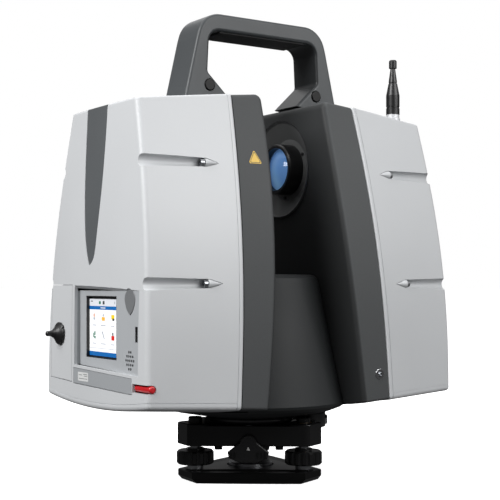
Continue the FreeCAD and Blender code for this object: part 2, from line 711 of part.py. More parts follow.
def handle_grip():
    """Soft black pad let into the underside of the grip."""
    pad = block(grown((-GRIP_HALF_X, GRIP_HALF_X), -0.1), grown(GRIP_Y, -0.1),
                (GRIP_TOP_Z - 4.4, GRIP_TOP_Z - 0.1))
    return pad.makeFillet(1.2, edges_where(pad, lambda b: b.ZMax < GRIP_TOP_Z - 4.3))


def handle_pockets():
    return [Part.makeCylinder(LOCK_R + 0.4, 17, Vector(x, HANDLE_FRONT_Y - 5, LOCK_Z), Y_AXIS)
            for x in (-LOCK_X, LOCK_X)]


def lock_button(x):
    start = Vector(x, HANDLE_FRONT_Y - LOCK_PROUD, LOCK_Z)
    button = Part.makeCylinder(LOCK_R, 9, start, Y_AXIS)
    return button.makeFillet(1.0, edges_where(button, lambda b: b.YMax < start.y + 0.1))


def antenna_base():
    foot = turned([(0, 360), (7.6, 360), (7.6, 371), (6.9, 371.6), (6.9, 375.4), (0, 375.4)],
                  Vector(150, -48, 0))
    return foot.cut(housing_volume(0.0))


def antenna_whip():
    return turned([(0, 375.4), (7.1, 375.4), (7.1, 382.0), (6.6, 382.4), (6.6, 383.6), (7.1, 384.0),
                   (7.1, 395.6), (4.7, 408.0), (4.2, 408.4), (4.2, 409.6), (4.5, 410.0),
                   (2.5, 424.4), (4.1, 424.6), (4.1, 432.0), (3.2, 433.2), (0, 433.2)],
                  Vector(150, -48, 0))


# ---------------------------------------------------------------- tribrach

def lobed_plate(circle_r, lobe_r, z0, z1):
    """Rounded triangle: three circles on the screw circle and the tangents round them."""
    corners = []
    for angle in sorted(SCREW_ANGLES.values()):
        centre = at_angle(circle_r, angle)
        for turn in (-60, 60):
            corners.append(centre + at_angle(lobe_r, angle + turn))
    core = prism_xy([(p.x, p.y) for p in corners], z0, z1)
    return core.fuse(lobe_posts(lobe_r, z0, z1)).cut(lobe_trims()).removeSplitter()


def lobe_posts(lobe_r, z0, z1):
    spots = [at_angle(SCREW_CIRCLE_R, angle) for angle in SCREW_ANGLES.values()]
    return [post(lobe_r, z0, z1, spot.x, spot.y) for spot in spots]


def lobe_trims():
    """Blocks that cut the three lobes off flat at their ends."""
    trims = []
    for angle in SCREW_ANGLES.values():
        trim = block((LOBE_REACH, LOBE_REACH + 20), (-40, 40), (0, 90))
        trim.rotate(Vector(0, 0, 0), Z_AXIS, angle)
        trims.append(trim)
    return trims


def base_wire(edge_reach, bow_reach, corner_reach, z0):
    """Triangle with cut corners and slightly bowed edges."""
    half = (corner_reach - edge_reach * 0.5) / math.sin(math.radians(60))
    edges = []
    ends = []
    for angle in (234.0, 354.0, 114.0):
        along = at_angle(1.0, angle + 90)
        middle = at_angle(bow_reach, angle, z0)
        foot = at_angle(edge_reach, angle, z0)
        ends.append((foot - along * half, middle, foot + along * half))
    for index, (start, middle, end) in enumerate(ends):
        edges.append(Part.Arc(start, middle, end).toShape())
        edges.append(Part.LineSegment(end, ends[(index + 1) % 3][0]).toShape())
    return Part.Wire(edges)


def base_outline(edge_reach, bow_reach, corner_reach, z0, z1):
    outline = base_wire(edge_reach, bow_reach, corner_reach, z0)
    return Part.Face(outline).extrude(Vector(0, 0, z1 - z0))


def screw_axes():
    return [(name, at_angle(SCREW_CIRCLE_R, angle)) for name, angle in SCREW_ANGLES.items()]


def base_plate():
    upper = base_outline(50.8, 51.8, 73.6, BEVEL_Z, PLATE_TOP_Z)
    rim = edges_where(upper, lambda b: b.ZLength < 0.1 and b.ZMin > BEVEL_Z + 1)
    upper = upper.makeChamfer(0.8, rim)
    foot = base_wire(49.6, 50.6, 69.0, 0.0)
    bevel = Part.makeLoft([foot, base_wire(50.8, 51.8, 73.6, BEVEL_Z)], True, True)
    plate = upper.fuse(bevel)
    cups = [post(SPINDLE_R + RUN_FIT, 5.0, 20, p.x, p.y) for _, p in screw_axes()]
    return plate.cut(cups + [post(14.0, -1, 20)])


def thread_insert():
    """Steel bush in the plate with the tripod thread through it."""
    bush = turned([(0, 0), (14.0, 0), (14.0, PLATE_TOP_Z), (22.4, PLATE_TOP_Z), (22.4, 14.6),
                   (21.5, 15.5), (0, 15.5)])
    return bush.cut(post(THREAD_R, -1, 20))


def spring_plate():
    plate = base_outline(40.0, 35.0, 70.5, PLATE_TOP_Z, PLATE_TOP_Z + 1.2)
    holes = [post(6.0, 0, 20, p.x, p.y) for _, p in screw_axes()]
    return plate.cut(holes + [post(24.0, 0, 20)])


def foot_screw(centre):
    """Spindle with a shoulder that bears on the spring plate."""
    profile = [(0, 5.2), (4.2, 5.2), (SPINDLE_R, 6.0), (SPINDLE_R, 12.4), (8.0, 12.4), (8.0, 17.1),
               (SPINDLE_R, 17.1), (SPINDLE_R, 57.0), (4.0, 58.0), (0, 58.0)]
    return turned(profile, centre)


def foot_knob(centre):
    blank = turned([(SPINDLE_R, 17.1), (16.9, 17.1), (KNOB_R, 18.6), (KNOB_R, 29.0), (16.9, 30.8),
                    (8.6, 30.8), (8.6, 33.0), (SPINDLE_R, 33.0)], centre)
    flutes = []
    for step in range(16):
        spot = centre + at_angle(KNOB_R + 1.5, 360.0 / 16 * step)
        flutes.append(post(2.6, 16, 34, spot.x, spot.y))
    return blank.cut(flutes)


def stud_spots():
    return [at_angle(38.0, angle + 60.0) for angle in SCREW_ANGLES.values()]


def boss_spots():
    return [at_angle(50.0, LEVER_ANGLE + side + turn) for turn in (0, 120, 240) for side in (-37, 37)]


def lever_shaft_rod(radius, start, end):
    axis = at_angle(1.0, LEVER_ANGLE)
    begin = at_angle(start, LEVER_ANGLE, LEVER_Z)
    return Part.makeCylinder(radius, end - start, begin, axis)


def tribrach_body():
    plate = lobed_plate(SCREW_CIRCLE_R, LOBE_R, BODY_LOW_Z, BODY_TOP_Z)
    pads = [pad.cut(lobe_trims()).cut(post(46.4, 50, 60))
            for pad in lobe_posts(LOBE_R, BODY_LOW_Z, LOBE_TOP_Z)]
    body = plate.fuse(pads).removeSplitter()
    low = edges_where(body, lambda b: b.ZMax < BODY_LOW_Z + 0.1)
    high = edges_where(body, lambda b: b.ZMin > LOBE_TOP_Z - 0.1)
    body = body.makeFillet(1.4, low + high)
    bosses = [post(3.9, 32.5, BODY_LOW_Z + 2, p.x, p.y) for p in boss_spots()]
    lug = block((45.2, 52.0), (-3.4, 3.4), (BODY_TOP_Z - 2, 62.3))
    lug.rotate(Vector(0, 0, 0), Z_AXIS, 170.5)
    body = body.fuse(bosses + [lug])
    cuts = [post(30.0, 30, 60), lever_shaft_rod(LEVER_SHAFT_R + RUN_FIT, 25, 60)]
    cuts += [post(8.6, 30, 60, p.x, p.y) for _, p in screw_axes()]
    cuts += [post(4.1, 45, 60, p.x, p.y) for p in stud_spots()]
    return body.cut(cuts)


def screw_bushings():
    inner = SPINDLE_R + RUN_FIT
    return group([ring_z(8.6, inner, 35.9, LOBE_TOP_Z, p.x, p.y) for _, p in screw_axes()])


def screw_caps():
    caps = []
    for _, p in screw_axes():
        cap = turned([(5.4, LOBE_TOP_Z), (7.0, LOBE_TOP_Z), (7.0, 62.8), (6.2, 64.0), (0, 64.0),
                      (0, 62.0), (5.4, 62.0)], p)
        caps.append(cap)
    return group(caps)


def lock_plate():
    ring = ring_z(29.5, 20.0, 46, 50)
    slots = [post(3.4, 40, 60, at_angle(27.0, a).x, at_angle(27.0, a).y) for a in (54, 174, 294)]
    return ring.cut(slots)


def level_spot():
    return at_angle(57.0, 114.0)


def round_level_housing():
    spot = level_spot()
    boss = post(11.0, 42.0, 54.5, spot.x, spot.y)
    boss = boss.makeFillet(1.0, edges_where(boss, lambda b: b.ZMin > 54))
    body = lobed_plate(SCREW_CIRCLE_R, LOBE_R, BODY_LOW_Z, BODY_TOP_Z)
    return boss.cut([body, post(8.0, 49, 60, spot.x, spot.y)])


def round_level_vial():
    spot = level_spot()
    glass = post(8.0, 49.0, 55.0, spot.x, spot.y)
    body = lobed_plate(SCREW_CIRCLE_R, LOBE_R, BODY_LOW_Z, BODY_TOP_Z)
    return glass.cut(body)


def socket_point(radius):
    return at_angle(radius, SOCKET_ANGLE, SOCKET_Z)


def instrument_base():
    """Static foot of the instrument, with a lobe that carries the power socket."""
    foot = turned([(0, 56.4), (41.0, 56.4), (43.6, 57.6), (45.0, 59.6), (45.0, 61.4), (44.2, 62.2),
                   (34.0, 62.2), (34.0, 73.4), (0, 73.4)])
    arm = block((0, 62), (-11, 11), (56.6, 62.0))
    boss = post(15, SOCKET_LOW_Z, 66.0, 62, 0)
    boss = boss.makeFillet(2.0, edges_where(boss, lambda b: b.ZLength < 0.1))
    lobe = arm.fuse(boss)
    lobe.rotate(Vector(0, 0, 0), Z_AXIS, SOCKET_ANGLE)
    clear = lobed_plate(SCREW_CIRCLE_R, LOBE_R + 1.0, BODY_LOW_Z, LOBE_TOP_Z + 0.4)
    drum = turned([(0, 62.3), (46, 62.3), (84, 68.6), (100, 74), (100, 90), (0, 90)])
    hub = post(34.0, 56, 73.4)
    socket_hole = tapered_rod(socket_point(70.0), socket_point(90.0), SOCKET_R, SOCKET_R)
    return foot.fuse(lobe.cut([clear, drum.cut(hub)])).cut([post(AXLE_R, 50, 80), socket_hole])


def power_socket():
    shell = tapered_rod(socket_point(70.0), socket_point(78.5), SOCKET_R, SOCKET_R)
    bore = tapered_rod(socket_point(72.0), socket_point(90.0), SOCKET_BORE_R, SOCKET_BORE_R)
    return shell.cut(bore)


def centring_studs():
    return group([post(4.0, 46.0, 56.4, p.x, p.y) for p in stud_spots()])


def vertical_axle():
    return turned([(0, 51.0), (AXLE_R, 51.0), (AXLE_R, 119.0), (AXLE_R - 1.5, 120.5), (0, 120.5)])


def clamp_lever():
    """Fan-shaped grip that hangs from the clamp shaft in front of the tribrach."""
    hub = lever_shaft_rod(8.0, 53.0, 59.0)
    fan_points = [(-6.5, 3.0), (-20.3, -8.0), (-18.8, -14.0), (-8.0, -18.2), (8.0, -18.2),
                  (18.8, -14.0), (20.3, -8.0), (6.5, 3.0)]
    out = at_angle(1.0, LEVER_ANGLE)
    side = at_angle(1.0, LEVER_ANGLE + 90)
    base = at_angle(53.0, LEVER_ANGLE, LEVER_Z)
    corners = [base + side * s + Z_AXIS * z for s, z in fan_points]
    fan = Part.Face(Part.makePolygon(corners + corners[:1])).extrude(out * 6.0)
    fan = fan.makeFillet(1.2, fan.Edges)
    return hub.fuse(fan).cut(lever_shaft_rod(LEVER_SHAFT_R, 50, 57.5))


def clamp_shaft():
    return lever_shaft_rod(LEVER_SHAFT_R, 31.5, 57.4)


# ---------------------------------------------------------------- electronics

def main_board():
    board = block((-152, -150), (-84, 36), (108, 205))
    chips = [block((-156, -152), (-60, -20), (130, 170)), block((-154.5, -152), (0, 24), (150, 190))]
    return board.fuse(chips)


# ---------------------------------------------------------------- assembly

def all_screws(maker):
    shapes = []
    for groove in GROOVES:
        for shape in both_faces(maker(groove)):
            shapes += [shape, mirrored(shape)]
    return group(shapes)


def build():
    save("base_plate", base_plate())
    save("thread_insert", thread_insert())
    save("spring_plate", spring_plate())
    for name, centre in screw_axes():
        save("foot_screw_" + name, foot_screw(centre))
        save("foot_knob_" + name, foot_knob(centre))
    save("tribrach_body", tribrach_body())
    save("screw_bushings", screw_bushings())
    save("screw_caps", screw_caps())
    save("lock_plate", lock_plate())
    save("round_level_housing", round_level_housing())
    save("round_level_vial", round_level_vial())
    save("instrument_base", instrument_base())
    save("power_socket", power_socket())
    save("centring_studs", centring_studs())
    save("vertical_axle", vertical_axle())
    save("clamp_lever", clamp_lever())
    save("clamp_shaft", clamp_shaft())
    screws = all_screws(housing_screw)
    save("yoke_frame", yoke_frame())
    save("azimuth_bearings", azimuth_bearings())
    save("azimuth_motor", azimuth_motor())
    save("drum_cover", drum_cover())
    save("left_inner_cover", left_inner_cover())
    save("right_inner_cover", right_inner_cover())
    save("left_shell", left_shell().cut(screws))
    save("right_shell", right_shell().cut(screws))
    save("shell_screws", screws)
    save("shell_inlays", group([shell_inlay(), mirrored(shell_inlay())]))
    save("control_panel", control_panel())
    save("display_module", display_module())
    save("display_glass", display_glass())
    save("power_button", power_button())
    save("speaker", speaker())
    save("port_cover", port_cover())
    save("port_block", port_block())
    save("stylus_pen", stylus_pen())
    save("stylus_cap", stylus_cap())
    save("battery_door", battery_door())
    save("battery_knob", battery_knob())
    save("battery_pack", battery_pack())
    save("main_board", main_board())
    save("mirror_drum", mirror_drum())
    save("mirror_plate", mirror_plate())
    save("mirror_shaft", mirror_shaft())
    save("mirror_bearings", mirror_bearings())
    save("mirror_motor", mirror_motor())
    save("lens_dish", lens_dish())
    save("lens_barrel", lens_barrel())
    save("lens", lens())
    save("laser_module", laser_module())
    save("accessory_insert", accessory_insert())
    save("handle_body", handle_body())
    save("handle_grip", handle_grip())
    save("handle_button_left", lock_button(-LOCK_X))
    save("handle_button_right", lock_button(LOCK_X))
    save("antenna_base", antenna_base())
    save("antenna_whip", antenna_whip())


os.makedirs("parts", exist_ok=True)
build()
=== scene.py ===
"""Looks for the terrestrial laser scanner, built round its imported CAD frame."""

import json
import math

import bpy
import bmesh
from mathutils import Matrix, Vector
from mathutils.bvhtree import BVHTree


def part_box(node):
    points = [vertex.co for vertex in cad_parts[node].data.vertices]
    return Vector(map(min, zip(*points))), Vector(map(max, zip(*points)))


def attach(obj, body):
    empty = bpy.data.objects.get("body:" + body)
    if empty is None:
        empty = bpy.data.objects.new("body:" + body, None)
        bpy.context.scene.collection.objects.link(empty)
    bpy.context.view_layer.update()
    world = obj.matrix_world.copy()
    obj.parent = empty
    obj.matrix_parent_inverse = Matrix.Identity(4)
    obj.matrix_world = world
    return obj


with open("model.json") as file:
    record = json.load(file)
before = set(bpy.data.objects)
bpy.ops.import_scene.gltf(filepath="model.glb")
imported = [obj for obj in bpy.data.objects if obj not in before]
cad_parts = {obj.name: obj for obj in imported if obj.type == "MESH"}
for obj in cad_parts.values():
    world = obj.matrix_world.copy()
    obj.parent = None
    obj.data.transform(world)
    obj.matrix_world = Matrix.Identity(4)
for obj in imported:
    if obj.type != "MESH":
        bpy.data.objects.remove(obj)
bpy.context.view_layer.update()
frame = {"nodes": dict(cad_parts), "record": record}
NODES = frame["nodes"]
SCENE = bpy.context.scene
MM = 0.001

# ---------------------------------------------------------------- camera

CAMERA_AZIMUTH = math.radians(34.0)
CAMERA_DISTANCE, CAMERA_HEIGHT, CAMERA_SIDE = 1.196, 0.195, -0.0003
LENS_MM, SENSOR_MM, SHIFT_UP = 84.17, 36.0, 0.07


def make_camera():
    data = bpy.data.cameras.new("camera")
    data.lens = LENS_MM
    data.sensor_width = SENSOR_MM
    data.shift_y = SHIFT_UP
    data.clip_start, data.clip_end = 0.05, 100.0
    camera = bpy.data.objects.new("camera", data)
    back = Vector((-math.sin(CAMERA_AZIMUTH), -math.cos(CAMERA_AZIMUTH), 0))
    side = Vector((math.cos(CAMERA_AZIMUTH), -math.sin(CAMERA_AZIMUTH), 0))
    camera.location = back * CAMERA_DISTANCE + side * CAMERA_SIDE + Vector((0, 0, CAMERA_HEIGHT))
    camera.rotation_euler = (math.radians(90), 0, -CAMERA_AZIMUTH)
    SCENE.collection.objects.link(camera)
    SCENE.camera = camera


# ---------------------------------------------------------------- light and floor

def area_light(name, place, target, size, watts):
    data = bpy.data.lights.new(name, "AREA")
    data.shape = "RECTANGLE"
    data.size, data.size_y = size
    data.energy = watts
    lamp = bpy.data.objects.new(name, data)
    lamp.location = place
    lamp.rotation_euler = (Vector(target) - Vector(place)).to_track_quat("-Z", "Y").to_euler()
    SCENE.collection.objects.link(lamp)


# Share of the way from straight down (0) to straight up (1), and the light from there.
SKY_LEVELS = ((0.01, 0.10), (0.40, 0.08), (0.50, 0.05), (0.60, 0.12), (0.75, 0.28), (0.99, 0.50))


def make_world():
    world = bpy.data.worlds.new("studio")
    SCENE.world = world
    world.use_nodes = True
    nodes, links = world.node_tree.nodes, world.node_tree.links
    nodes.clear()
    out = nodes.new("ShaderNodeOutputWorld")
    lit = nodes.new("ShaderNodeBackground")
    seen = nodes.new("ShaderNodeBackground")
    mix = nodes.new("ShaderNodeMixShader")
    path = nodes.new("ShaderNodeLightPath")
    coord = nodes.new("ShaderNodeTexCoord")
    split = nodes.new("ShaderNodeSeparateXYZ")
    ramp = nodes.new("ShaderNodeValToRGB")
    for place, level in SKY_LEVELS:
        stop = ramp.color_ramp.elements.new(place)
        stop.color = (level, level, level * 1.01, 1)
    ramp.color_ramp.elements.remove(ramp.color_ramp.elements[0])
    ramp.color_ramp.elements.remove(ramp.color_ramp.elements[-1])
    half = nodes.new("ShaderNodeMapRange")
    half.inputs["From Min"].default_value = -1.0
    half.inputs["From Max"].default_value = 1.0
    links.new(coord.outputs["Generated"], split.inputs[0])
    links.new(split.outputs["Z"], half.inputs["Value"])
    links.new(half.outputs[0], ramp.inputs[0])
    links.new(ramp.outputs[0], lit.inputs["Color"])
    lit.inputs["Strength"].default_value = 1.0
    seen.inputs["Color"].default_value = (1, 1, 1, 1)
    seen.inputs["Strength"].default_value = 1.0
    links.new(path.outputs["Is Camera Ray"], mix.inputs[0])
    links.new(lit.outputs[0], mix.inputs[1])
    links.new(seen.outputs[0], mix.inputs[2])
    links.new(mix.outputs[0], out.inputs[0])


def make_studio():
    SCENE.view_settings.view_transform = "Standard"
    make_world()
    centre = (0, 0, 0.25)
    area_light("key", (-2.0, -0.15, 1.55), centre, (1.5, 1.1), 62.0)
    area_light("front", (0.75, -1.75, 1.15), centre, (1.6, 0.9), 29.0)
    area_light("top", (0.0, 0.3, 1.9), centre, (1.6, 1.6), 11.0)
    area_light("rear", (0.9, 1.6, 1.9), centre, (1.4, 1.0), 5.0)


# ---------------------------------------------------------------- materials

def srgb(red, green, blue):
    def linear(value):
        value /= 255.0
        return value / 12.92 if value <= 0.04045 else ((value + 0.055) / 1.055) ** 2.4
    return (linear(red), linear(green), linear(blue), 1.0)


def shade(colour, factor):
    return tuple(min(1.0, max(0.0, part * factor)) for part in colour[:3]) + (1.0,)


def new_material(name):
    material = bpy.data.materials.new(name)
    material.use_nodes = True
    tree = material.node_tree
    shader = tree.nodes["Principled BSDF"]
    return material, tree, shader


def noise_node(tree, coord, scale, detail=3.0, stretch=None):
    noise = tree.nodes.new("ShaderNodeTexNoise")
    noise.inputs["Scale"].default_value = scale
    noise.inputs["Detail"].default_value = detail
    source = coord.outputs["Object"]
    if stretch:
        mapping = tree.nodes.new("ShaderNodeMapping")
        mapping.inputs["Scale"].default_value = stretch
        tree.links.new(source, mapping.inputs["Vector"])
        source = mapping.outputs[0]
    tree.links.new(source, noise.inputs["Vector"])
    return noise.outputs["Fac"]


def ramp_node(tree, source, low, high, low_at=0.35, high_at=0.65):
    ramp = tree.nodes.new("ShaderNodeValToRGB")
    ramp.color_ramp.elements[0].position = low_at
    ramp.color_ramp.elements[0].color = low
    ramp.color_ramp.elements[1].position = high_at
    ramp.color_ramp.elements[1].color = high
    tree.links.new(source, ramp.inputs[0])
    return ramp.outputs[0]


def range_node(tree, source, low, high):
    spread = tree.nodes.new("ShaderNodeMapRange")
    spread.inputs["From Min"].default_value = 0.3
    spread.inputs["From Max"].default_value = 0.7
    spread.inputs["To Min"].default_value = low
    spread.inputs["To Max"].default_value = high
    tree.links.new(source, spread.inputs["Value"])
    return spread.outputs[0]


def finish_material(name, colour, roughness, metallic=0.0, spread=0.03, patch=9.0, grain=900.0,
                    speckle=0.0, bump=0.1, depth=0.00005, coat=0.0, coat_rough=0.1, stretch=None,
                    specular=0.5, rough_spread=0.05, painted_shade_level=1.0):
    """A moulded, painted or machined finish: broad tone drift, fine grain, and relief from it, and
    painted shade on the faces that look in towards the middle plane when its level is below one.
    """
    material, tree, shader = new_material(name)
    coord = tree.nodes.new("ShaderNodeTexCoord")
    broad = noise_node(tree, coord, patch, 4.0)
    fine = noise_node(tree, coord, grain, 3.0, stretch)
    tone = ramp_node(tree, broad, shade(colour, 1 - spread), shade(colour, 1 + spread))
    if speckle:
        blend = tree.nodes.new("ShaderNodeMix")
        blend.data_type = "RGBA"
        blend.blend_type = "MULTIPLY"
        blend.inputs[0].default_value = 1.0
        dots = ramp_node(tree, fine, shade((1, 1, 1), 1 - speckle), (1, 1, 1, 1), 0.4, 0.6)
        tree.links.new(tone, blend.inputs[6])
        tree.links.new(dots, blend.inputs[7])
        tone = blend.outputs[2]
    # Painted shade on the inward faces, standing in for the shadow in the gap between the housings.
    if painted_shade_level < 1.0:
        tone = inward_shade(tree, coord, tone, painted_shade_level)
    tree.links.new(tone, shader.inputs["Base Color"])
    tree.links.new(range_node(tree, broad, roughness - rough_spread, roughness + rough_spread),
                   shader.inputs["Roughness"])
    relief = tree.nodes.new("ShaderNodeBump")
    relief.inputs["Strength"].default_value = bump
    relief.inputs["Distance"].default_value = depth
    tree.links.new(fine, relief.inputs["Height"])
    tree.links.new(relief.outputs[0], shader.inputs["Normal"])
    shader.inputs["Metallic"].default_value = metallic
    shader.inputs["Specular IOR Level"].default_value = specular
    shader.inputs["Coat Weight"].default_value = coat
    shader.inputs["Coat Roughness"].default_value = coat_rough
    return material


def inward_shade(tree, coord, tone, painted_shade_level):
    """Painted shade: darken the faces that look in towards the middle plane of the instrument, where the
    gap between the housings is in shadow.
    """
    place = tree.nodes.new("ShaderNodeSeparateXYZ")
    facing = tree.nodes.new("ShaderNodeSeparateXYZ")
    product = tree.nodes.new("ShaderNodeMath")
    product.operation = "MULTIPLY"
    spread = tree.nodes.new("ShaderNodeMapRange")
    spread.inputs["From Min"].default_value = -0.03
    spread.inputs["From Max"].default_value = -0.012
    spread.inputs["To Min"].default_value = painted_shade_level
    spread.inputs["To Max"].default_value = 1.0
    dim = tree.nodes.new("ShaderNodeVectorMath")
    dim.operation = "SCALE"
    tree.links.new(coord.outputs["Object"], place.inputs[0])
    tree.links.new(coord.outputs["Normal"], facing.inputs[0])
    tree.links.new(place.outputs["X"], product.inputs[0])
    tree.links.new(facing.outputs["X"], product.inputs[1])
    tree.links.new(product.outputs[0], spread.inputs["Value"])
    tree.links.new(tone, dim.inputs[0])
    tree.links.new(spread.outputs[0], dim.inputs["Scale"])
    return dim.outputs[0]


def lens_material():
    """Coated front glass with painted light: a pale blue painted reflection in the middle, where the
    glass faces the view, dark blue towards the edge, and a faint painted glow over all of it.
    """
    material, tree, shader = new_material("lens_painted_glow")
    coord = tree.nodes.new("ShaderNodeTexCoord")
    facing = tree.nodes.new("ShaderNodeLayerWeight")
    facing.inputs["Blend"].default_value = 0.35
    ramp = ramp_node(tree, facing.outputs["Facing"], srgb(130, 185, 235), srgb(24, 40, 130), 0.35, 0.95)
    bands = noise_node(tree, coord, 26.0, 1.0, (1.0, 1.0, 0.5))
    blend = tree.nodes.new("ShaderNodeMix")
    blend.data_type = "RGBA"
    blend.inputs[0].default_value = 0.4
    tint = ramp_node(tree, bands, srgb(60, 100, 200), srgb(150, 205, 240), 0.4, 0.62)
    tree.links.new(ramp, blend.inputs[6])
    tree.links.new(tint, blend.inputs[7])
    tree.links.new(blend.outputs[2], shader.inputs["Base Color"])
    shader.inputs["Roughness"].default_value = 0.12
    shader.inputs["Coat Weight"].default_value = 1.0
    shader.inputs["Coat Roughness"].default_value = 0.03
    # Painted glow: the lens emits a little of its own colour, standing in for the light it reflects in
    # the shade of its dish.
    tree.links.new(blend.outputs[2], shader.inputs["Emission Color"])
    shader.inputs["Emission Strength"].default_value = 0.28
    return material


def glow_material(name, colour, strength):
    """A lit display colour with the faint grid of its picture elements."""
    material, tree, shader = new_material(name)
    coord = tree.nodes.new("ShaderNodeTexCoord")
    grid = noise_node(tree, coord, 2600.0, 1.0)
    tone = ramp_node(tree, grid, shade(colour, 0.93), shade(colour, 1.0))
    tree.links.new(tone, shader.inputs["Base Color"])
    tree.links.new(tone, shader.inputs["Emission Color"])
    shader.inputs["Emission Strength"].default_value = strength
    shader.inputs["Roughness"].default_value = 0.25
    return material


PAINT = {
    "white_shell": dict(colour=srgb(201, 203, 205), roughness=0.42, grain=1500, bump=0.08, spread=0.012,
                        speckle=0.015, coat=0.12, coat_rough=0.35),
    "panel_grey": dict(colour=srgb(172, 175, 178), roughness=0.46, grain=1800, bump=0.10, spread=0.014,
                       speckle=0.02),
    # The inward faces of the dark strips get painted shade, standing in for the shadow in the gap between
    # the housings.
    "strip_grey": dict(colour=srgb(75, 77, 78), roughness=0.58, grain=1300, bump=0.22, depth=0.00008,
                       spread=0.03, speckle=0.08, specular=0.3, painted_shade_level=0.45),
    "drum_grey": dict(colour=srgb(44, 46, 47), roughness=0.58, grain=1300, bump=0.2, depth=0.00008,
                      spread=0.03, speckle=0.08, specular=0.3),
    # The inward faces of the handle get painted shade, standing in for the shadow between the handle
    # legs.
    "handle_grey": dict(colour=srgb(67, 70, 72), roughness=0.42, grain=1500, bump=0.14, depth=0.00006,
                        spread=0.03, speckle=0.05, specular=0.4, painted_shade_level=0.5),
    "inlay_grey": dict(colour=srgb(86, 89, 91), roughness=0.5, grain=1300, bump=0.2, depth=0.00008,
                       spread=0.03, speckle=0.06, specular=0.35),
    "cover_grey": dict(colour=srgb(158, 161, 164), roughness=0.46, grain=1800, bump=0.1, spread=0.014,
                       speckle=0.02),
    "ring_grey": dict(colour=srgb(58, 59, 61), roughness=0.3, grain=1300, bump=0.1, spread=0.04,
                      coat=0.4, coat_rough=0.15),
    "dish_dark": dict(colour=srgb(92, 93, 93), roughness=0.5, grain=1300, bump=0.1, spread=0.08,
                      specular=0.4),
    "collar_silver": dict(colour=srgb(214, 215, 217), roughness=0.45, metallic=0.4, grain=900, bump=0.04,
                          spread=0.03),
    "plate_black": dict(colour=srgb(9, 9, 9), roughness=0.34, grain=1500, bump=0.06, spread=0.08,
                        specular=0.2),
    "black_plastic": dict(colour=srgb(22, 22, 23), roughness=0.38, grain=1500, bump=0.15, spread=0.08,
                          speckle=0.1),
    "tribrach_black": dict(colour=srgb(11, 11, 12), roughness=0.3, grain=1600, bump=0.08, spread=0.08,
                           coat=0.25, coat_rough=0.12, specular=0.4),
    "button_grey": dict(colour=srgb(120, 122, 124), roughness=0.3, grain=1200, bump=0.08, spread=0.05,
                        coat=0.6, coat_rough=0.12),
    "steel": dict(colour=srgb(170, 172, 175), roughness=0.3, metallic=1.0, grain=700, bump=0.06,
                  stretch=(1, 1, 12), spread=0.05),
    "chrome": dict(colour=srgb(205, 206, 208), roughness=0.16, metallic=1.0, grain=900, bump=0.03,
                   spread=0.04),
    "brass": dict(colour=srgb(196, 160, 92), roughness=0.3, metallic=1.0, grain=800, bump=0.05,
                  spread=0.05),
    "cast_aluminium": dict(colour=srgb(150, 152, 154), roughness=0.55, metallic=0.8, grain=500, bump=0.3,
                           depth=0.0001, spread=0.08),
    "display_glass": dict(colour=srgb(8, 8, 9), roughness=0.12, grain=900, bump=0.01, spread=0.1,
                          coat=0.8, coat_rough=0.05),
    "vial_glass": dict(colour=srgb(196, 216, 120), roughness=0.08, grain=600, bump=0.01, spread=0.05,
                       coat=1.0, coat_rough=0.03),
    "mirror": dict(colour=srgb(228, 230, 232), roughness=0.04, metallic=1.0, grain=900, bump=0.005,
                   spread=0.02, rough_spread=0.015),
    "red_plastic": dict(colour=srgb(196, 26, 34), roughness=0.34, grain=1300, bump=0.1, spread=0.05,
                        coat=0.3, coat_rough=0.2),
    "board_green": dict(colour=srgb(32, 84, 52), roughness=0.4, grain=900, bump=0.1, spread=0.15),
    "steel_dark": dict(colour=srgb(92, 92, 95), roughness=0.28, metallic=0.9, grain=900, bump=0.03,
                       spread=0.05),
    "mark_pale": dict(colour=srgb(190, 190, 188), roughness=0.5, grain=1200, bump=0.03, spread=0.03),
    "soft_black": dict(colour=srgb(28, 28, 29), roughness=0.7, grain=1200, bump=0.4, depth=0.00012,
                       spread=0.08, speckle=0.12),
}
MATERIALS = {name: finish_material(name, **look) for name, look in PAINT.items()}
MATERIALS["lens_glass"] = lens_material()


# Parts whose finish differs from the general one of their slot.
OWN_FINISH = {"instrument_base": "ring_grey", "lens_dish": "dish_dark", "base_plate": "plate_black",
              "handle_button_left": "plate_black", "handle_button_right": "plate_black",
              "antenna_base": "collar_silver", "shell_inlays": "inlay_grey", "port_cover": "cover_grey"}


def dress_nodes():
    for part in frame["record"]["subparts"]:
        mesh = NODES[part["node"]].data
        finish = OWN_FINISH.get(part["node"], part["material_slot"])
        mesh.materials.clear()
        mesh.materials.append(MATERIALS[finish])


# ---------------------------------------------------------------- piece helpers

def make_piece(name, bm, body, materials):
    """Turn a bmesh in row-frame metres into a piece that rides on a CAD body."""
    mesh = bpy.data.meshes.new(name)
    bmesh.ops.recalc_face_normals(bm, faces=bm.faces)
    bm.to_mesh(mesh)
    bm.free()
    for material in materials:
        mesh.materials.append(material)
    piece = bpy.data.objects.new(name, mesh)
    SCENE.collection.objects.link(piece)
    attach(piece, body)
    return piece


def soften(piece, width, segments=2):
    bevel = piece.modifiers.new("soften", "BEVEL")
    bevel.width = width
    bevel.segments = segments
    bevel.limit_method = "ANGLE"
    return piece


def surface_tree(*names):
    trees = []
    for name in names:
        mesh = NODES[name].data
        points = [vertex.co.copy() for vertex in mesh.vertices]
        faces = [tuple(polygon.vertices) for polygon in mesh.polygons]
        trees.append(BVHTree.FromPolygons(points, faces))
    return trees


def drop(trees, start, direction):
    """First hit of a ray on any of the surfaces, or None."""
    best = None
    for tree in trees:
        hit, _, _, distance = tree.ray_cast(Vector(start), Vector(direction))
        if hit is not None and (best is None or distance < best[1]):
            best = (hit, distance)
    return best[0] if best else None


